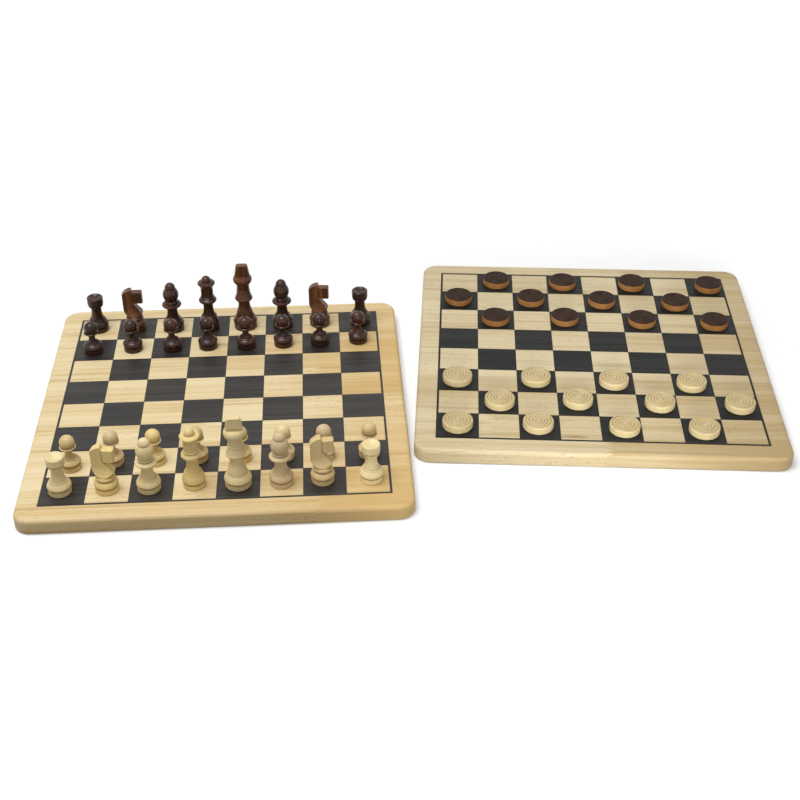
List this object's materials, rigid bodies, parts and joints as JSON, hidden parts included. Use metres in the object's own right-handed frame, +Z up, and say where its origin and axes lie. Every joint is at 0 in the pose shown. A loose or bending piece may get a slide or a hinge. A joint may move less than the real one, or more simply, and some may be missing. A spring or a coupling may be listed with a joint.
{
  "type": "chess and draughts set",
  "caption": "Two square wooden game boards with a printed chequer, one set out with turned chess pieces and one with ring-grooved draughts discs, every piece free to lift off.",
  "frame": {"origin": "middle of the chess board's underside", "axes": "+X along the chess board's near edge towards the draughts board, +Y away from the viewer across the board, +Z up"},
  "size_m": [0.6729, 0.3915, 0.0802],
  "materials": {
    "chess_board_wood": "satin lacquer over edge-glued pale staves, honey tone",
    "draughts_board_wood": "satin lacquer over edge-glued pale staves",
    "board_print": "satin black print",
    "light_piece_wood": "natural, waxed",
    "dark_piece_wood": "dark red-brown stain under gloss lacquer",
    "light_disc_wood": "natural, waxed",
    "dark_disc_wood": "dark brown stain, satin lacquer"
  },
  "bodies": {
    "chess_board": {"chess_board": "chess_board_wood", "chess_board_print": "board_print"},
    "draughts_board": {"draughts_board": "draughts_board_wood", "draughts_board_print": "board_print"},
    "dark_king_e8": {"dark_king_e8": "dark_piece_wood"},
    "light_king_e1": {"light_king_e1": "light_piece_wood"},
    "dark_queen_d8": {"dark_queen_d8": "dark_piece_wood"},
    "light_queen_d1": {"light_queen_d1": "light_piece_wood"},
    "dark_knight_b8": {"dark_knight_b8": "dark_piece_wood"},
    "dark_knight_g8": {"dark_knight_g8": "dark_piece_wood"},
    "light_knight_b1": {"light_knight_b1": "light_piece_wood"},
    "light_knight_g1": {"light_knight_g1": "light_piece_wood"},
    "dark_bishop_c8": {"dark_bishop_c8": "dark_piece_wood"},
    "dark_bishop_f8": {"dark_bishop_f8": "dark_piece_wood"},
    "light_bishop_c1": {"light_bishop_c1": "light_piece_wood"},
    "light_bishop_f1": {"light_bishop_f1": "light_piece_wood"},
    "dark_rook_a8": {"dark_rook_a8": "dark_piece_wood"},
    "dark_rook_h8": {"dark_rook_h8": "dark_piece_wood"},
    "light_rook_a1": {"light_rook_a1": "light_piece_wood"},
    "light_rook_h1": {"light_rook_h1": "light_piece_wood"},
    "dark_pawn_a7": {"dark_pawn_a7": "dark_piece_wood"},
    "dark_pawn_b7": {"dark_pawn_b7": "dark_piece_wood"},
    "dark_pawn_c7": {"dark_pawn_c7": "dark_piece_wood"},
    "dark_pawn_d7": {"dark_pawn_d7": "dark_piece_wood"},
    "dark_pawn_e7": {"dark_pawn_e7": "dark_piece_wood"},
    "dark_pawn_f7": {"dark_pawn_f7": "dark_piece_wood"},
    "dark_pawn_g7": {"dark_pawn_g7": "dark_piece_wood"},
    "dark_pawn_h7": {"dark_pawn_h7": "dark_piece_wood"},
    "light_pawn_a2": {"light_pawn_a2": "light_piece_wood"},
    "light_pawn_b2": {"light_pawn_b2": "light_piece_wood"},
    "light_pawn_c2": {"light_pawn_c2": "light_piece_wood"},
    "light_pawn_d2": {"light_pawn_d2": "light_piece_wood"},
    "light_pawn_e2": {"light_pawn_e2": "light_piece_wood"},
    "light_pawn_f2": {"light_pawn_f2": "light_piece_wood"},
    "light_pawn_g2": {"light_pawn_g2": "light_piece_wood"},
    "light_pawn_h2": {"light_pawn_h2": "light_piece_wood"},
    "dark_disc_a7": {"dark_disc_a7": "dark_disc_wood"},
    "dark_disc_b6": {"dark_disc_b6": "dark_disc_wood"},
    "dark_disc_b8": {"dark_disc_b8": "dark_disc_wood"},
    "dark_disc_c7": {"dark_disc_c7": "dark_disc_wood"},
    "dark_disc_d6": {"dark_disc_d6": "dark_disc_wood"},
    "dark_disc_d8": {"dark_disc_d8": "dark_disc_wood"},
    "dark_disc_e7": {"dark_disc_e7": "dark_disc_wood"},
    "dark_disc_f6": {"dark_disc_f6": "dark_disc_wood"},
    "dark_disc_f8": {"dark_disc_f8": "dark_disc_wood"},
    "dark_disc_g7": {"dark_disc_g7": "dark_disc_wood"},
    "dark_disc_h6": {"dark_disc_h6": "dark_disc_wood"},
    "dark_disc_h8": {"dark_disc_h8": "dark_disc_wood"},
    "light_disc_a1": {"light_disc_a1": "light_disc_wood"},
    "light_disc_a3": {"light_disc_a3": "light_disc_wood"},
    "light_disc_b2": {"light_disc_b2": "light_disc_wood"},
    "light_disc_c1": {"light_disc_c1": "light_disc_wood"},
    "light_disc_c3": {"light_disc_c3": "light_disc_wood"},
    "light_disc_d2": {"light_disc_d2": "light_disc_wood"},
    "light_disc_e1": {"light_disc_e1": "light_disc_wood"},
    "light_disc_e3": {"light_disc_e3": "light_disc_wood"},
    "light_disc_f2": {"light_disc_f2": "light_disc_wood"},
    "light_disc_g1": {"light_disc_g1": "light_disc_wood"},
    "light_disc_g3": {"light_disc_g3": "light_disc_wood"},
    "light_disc_h2": {"light_disc_h2": "light_disc_wood"}
  },
  "joints": [
    {"name": "draughts_board_lift", "type": "slide", "parent": "chess_board", "child": "draughts_board", "axis": [0, 0, 1], "range_m": [0, 0.1]},
    {"name": "dark_king_e8_lift", "type": "slide", "parent": "chess_board", "child": "dark_king_e8", "axis": [0, 0, 1], "range_m": [0, 0.1]},
    {"name": "light_king_e1_lift", "type": "slide", "parent": "chess_board", "child": "light_king_e1", "axis": [0, 0, 1], "range_m": [0, 0.1]},
    {"name": "dark_queen_d8_lift", "type": "slide", "parent": "chess_board", "child": "dark_queen_d8", "axis": [0, 0, 1], "range_m": [0, 0.1]},
    {"name": "light_queen_d1_lift", "type": "slide", "parent": "chess_board", "child": "light_queen_d1", "axis": [0, 0, 1], "range_m": [0, 0.1]},
    {"name": "dark_knight_b8_lift", "type": "slide", "parent": "chess_board", "child": "dark_knight_b8", "axis": [0, 0, 1], "range_m": [0, 0.1]},
    {"name": "dark_knight_g8_lift", "type": "slide", "parent": "chess_board", "child": "dark_knight_g8", "axis": [0, 0, 1], "range_m": [0, 0.1]},
    {"name": "light_knight_b1_lift", "type": "slide", "parent": "chess_board", "child": "light_knight_b1", "axis": [0, 0, 1], "range_m": [0, 0.1]},
    {"name": "light_knight_g1_lift", "type": "slide", "parent": "chess_board", "child": "light_knight_g1", "axis": [0, 0, 1], "range_m": [0, 0.1]},
    {"name": "dark_bishop_c8_lift", "type": "slide", "parent": "chess_board", "child": "dark_bishop_c8", "axis": [0, 0, 1], "range_m": [0, 0.1]},
    {"name": "dark_bishop_f8_lift", "type": "slide", "parent": "chess_board", "child": "dark_bishop_f8", "axis": [0, 0, 1], "range_m": [0, 0.1]},
    {"name": "light_bishop_c1_lift", "type": "slide", "parent": "chess_board", "child": "light_bishop_c1", "axis": [0, 0, 1], "range_m": [0, 0.1]},
    {"name": "light_bishop_f1_lift", "type": "slide", "parent": "chess_board", "child": "light_bishop_f1", "axis": [0, 0, 1], "range_m": [0, 0.1]},
    {"name": "dark_rook_a8_lift", "type": "slide", "parent": "chess_board", "child": "dark_rook_a8", "axis": [0, 0, 1], "range_m": [0, 0.1]},
    {"name": "dark_rook_h8_lift", "type": "slide", "parent": "chess_board", "child": "dark_rook_h8", "axis": [0, 0, 1], "range_m": [0, 0.1]},
    {"name": "light_rook_a1_lift", "type": "slide", "parent": "chess_board", "child": "light_rook_a1", "axis": [0, 0, 1], "range_m": [0, 0.1]},
    {"name": "light_rook_h1_lift", "type": "slide", "parent": "chess_board", "child": "light_rook_h1", "axis": [0, 0, 1], "range_m": [0, 0.1]},
    {"name": "dark_pawn_a7_lift", "type": "slide", "parent": "chess_board", "child": "dark_pawn_a7", "axis": [0, 0, 1], "range_m": [0, 0.1]},
    {"name": "dark_pawn_b7_lift", "type": "slide", "parent": "chess_board", "child": "dark_pawn_b7", "axis": [0, 0, 1], "range_m": [0, 0.1]},
    {"name": "dark_pawn_c7_lift", "type": "slide", "parent": "chess_board", "child": "dark_pawn_c7", "axis": [0, 0, 1], "range_m": [0, 0.1]},
    {"name": "dark_pawn_d7_lift", "type": "slide", "parent": "chess_board", "child": "dark_pawn_d7", "axis": [0, 0, 1], "range_m": [0, 0.1]},
    {"name": "dark_pawn_e7_lift", "type": "slide", "parent": "chess_board", "child": "dark_pawn_e7", "axis": [0, 0, 1], "range_m": [0, 0.1]},
    {"name": "dark_pawn_f7_lift", "type": "slide", "parent": "chess_board", "child": "dark_pawn_f7", "axis": [0, 0, 1], "range_m": [0, 0.1]},
    {"name": "dark_pawn_g7_lift", "type": "slide", "parent": "chess_board", "child": "dark_pawn_g7", "axis": [0, 0, 1], "range_m": [0, 0.1]},
    {"name": "dark_pawn_h7_lift", "type": "slide", "parent": "chess_board", "child": "dark_pawn_h7", "axis": [0, 0, 1], "range_m": [0, 0.1]},
    {"name": "light_pawn_a2_lift", "type": "slide", "parent": "chess_board", "child": "light_pawn_a2", "axis": [0, 0, 1], "range_m": [0, 0.1]},
    {"name": "light_pawn_b2_lift", "type": "slide", "parent": "chess_board", "child": "light_pawn_b2", "axis": [0, 0, 1], "range_m": [0, 0.1]},
    {"name": "light_pawn_c2_lift", "type": "slide", "parent": "chess_board", "child": "light_pawn_c2", "axis": [0, 0, 1], "range_m": [0, 0.1]},
    {"name": "light_pawn_d2_lift", "type": "slide", "parent": "chess_board", "child": "light_pawn_d2", "axis": [0, 0, 1], "range_m": [0, 0.1]},
    {"name": "light_pawn_e2_lift", "type": "slide", "parent": "chess_board", "child": "light_pawn_e2", "axis": [0, 0, 1], "range_m": [0, 0.1]},
    {"name": "light_pawn_f2_lift", "type": "slide", "parent": "chess_board", "child": "light_pawn_f2", "axis": [0, 0, 1], "range_m": [0, 0.1]},
    {"name": "light_pawn_g2_lift", "type": "slide", "parent": "chess_board", "child": "light_pawn_g2", "axis": [0, 0, 1], "range_m": [0, 0.1]},
    {"name": "light_pawn_h2_lift", "type": "slide", "parent": "chess_board", "child": "light_pawn_h2", "axis": [0, 0, 1], "range_m": [0, 0.1]},
    {"name": "dark_disc_a7_lift", "type": "slide", "parent": "draughts_board", "child": "dark_disc_a7", "axis": [0, 0, 1], "range_m": [0, 0.1]},
    {"name": "dark_disc_b6_lift", "type": "slide", "parent": "draughts_board", "child": "dark_disc_b6", "axis": [0, 0, 1], "range_m": [0, 0.1]},
    {"name": "dark_disc_b8_lift", "type": "slide", "parent": "draughts_board", "child": "dark_disc_b8", "axis": [0, 0, 1], "range_m": [0, 0.1]},
    {"name": "dark_disc_c7_lift", "type": "slide", "parent": "draughts_board", "child": "dark_disc_c7", "axis": [0, 0, 1], "range_m": [0, 0.1]},
    {"name": "dark_disc_d6_lift", "type": "slide", "parent": "draughts_board", "child": "dark_disc_d6", "axis": [0, 0, 1], "range_m": [0, 0.1]},
    {"name": "dark_disc_d8_lift", "type": "slide", "parent": "draughts_board", "child": "dark_disc_d8", "axis": [0, 0, 1], "range_m": [0, 0.1]},
    {"name": "dark_disc_e7_lift", "type": "slide", "parent": "draughts_board", "child": "dark_disc_e7", "axis": [0, 0, 1], "range_m": [0, 0.1]},
    {"name": "dark_disc_f6_lift", "type": "slide", "parent": "draughts_board", "child": "dark_disc_f6", "axis": [0, 0, 1], "range_m": [0, 0.1]},
    {"name": "dark_disc_f8_lift", "type": "slide", "parent": "draughts_board", "child": "dark_disc_f8", "axis": [0, 0, 1], "range_m": [0, 0.1]},
    {"name": "dark_disc_g7_lift", "type": "slide", "parent": "draughts_board", "child": "dark_disc_g7", "axis": [0, 0, 1], "range_m": [0, 0.1]},
    {"name": "dark_disc_h6_lift", "type": "slide", "parent": "draughts_board", "child": "dark_disc_h6", "axis": [0, 0, 1], "range_m": [0, 0.1]},
    {"name": "dark_disc_h8_lift", "type": "slide", "parent": "draughts_board", "child": "dark_disc_h8", "axis": [0, 0, 1], "range_m": [0, 0.1]},
    {"name": "light_disc_a1_lift", "type": "slide", "parent": "draughts_board", "child": "light_disc_a1", "axis": [0, 0, 1], "range_m": [0, 0.1]},
    {"name": "light_disc_a3_lift", "type": "slide", "parent": "draughts_board", "child": "light_disc_a3", "axis": [0, 0, 1], "range_m": [0, 0.1]},
    {"name": "light_disc_b2_lift", "type": "slide", "parent": "draughts_board", "child": "light_disc_b2", "axis": [0, 0, 1], "range_m": [0, 0.1]},
    {"name": "light_disc_c1_lift", "type": "slide", "parent": "draughts_board", "child": "light_disc_c1", "axis": [0, 0, 1], "range_m": [0, 0.1]},
    {"name": "light_disc_c3_lift", "type": "slide", "parent": "draughts_board", "child": "light_disc_c3", "axis": [0, 0, 1], "range_m": [0, 0.1]},
    {"name": "light_disc_d2_lift", "type": "slide", "parent": "draughts_board", "child": "light_disc_d2", "axis": [0, 0, 1], "range_m": [0, 0.1]},
    {"name": "light_disc_e1_lift", "type": "slide", "parent": "draughts_board", "child": "light_disc_e1", "axis": [0, 0, 1], "range_m": [0, 0.1]},
    {"name": "light_disc_e3_lift", "type": "slide", "parent": "draughts_board", "child": "light_disc_e3", "axis": [0, 0, 1], "range_m": [0, 0.1]},
    {"name": "light_disc_f2_lift", "type": "slide", "parent": "draughts_board", "child": "light_disc_f2", "axis": [0, 0, 1], "range_m": [0, 0.1]},
    {"name": "light_disc_g1_lift", "type": "slide", "parent": "draughts_board", "child": "light_disc_g1", "axis": [0, 0, 1], "range_m": [0, 0.1]},
    {"name": "light_disc_g3_lift", "type": "slide", "parent": "draughts_board", "child": "light_disc_g3", "axis": [0, 0, 1], "range_m": [0, 0.1]},
    {"name": "light_disc_h2_lift", "type": "slide", "parent": "draughts_board", "child": "light_disc_h2", "axis": [0, 0, 1], "range_m": [0, 0.1]}
  ]
}
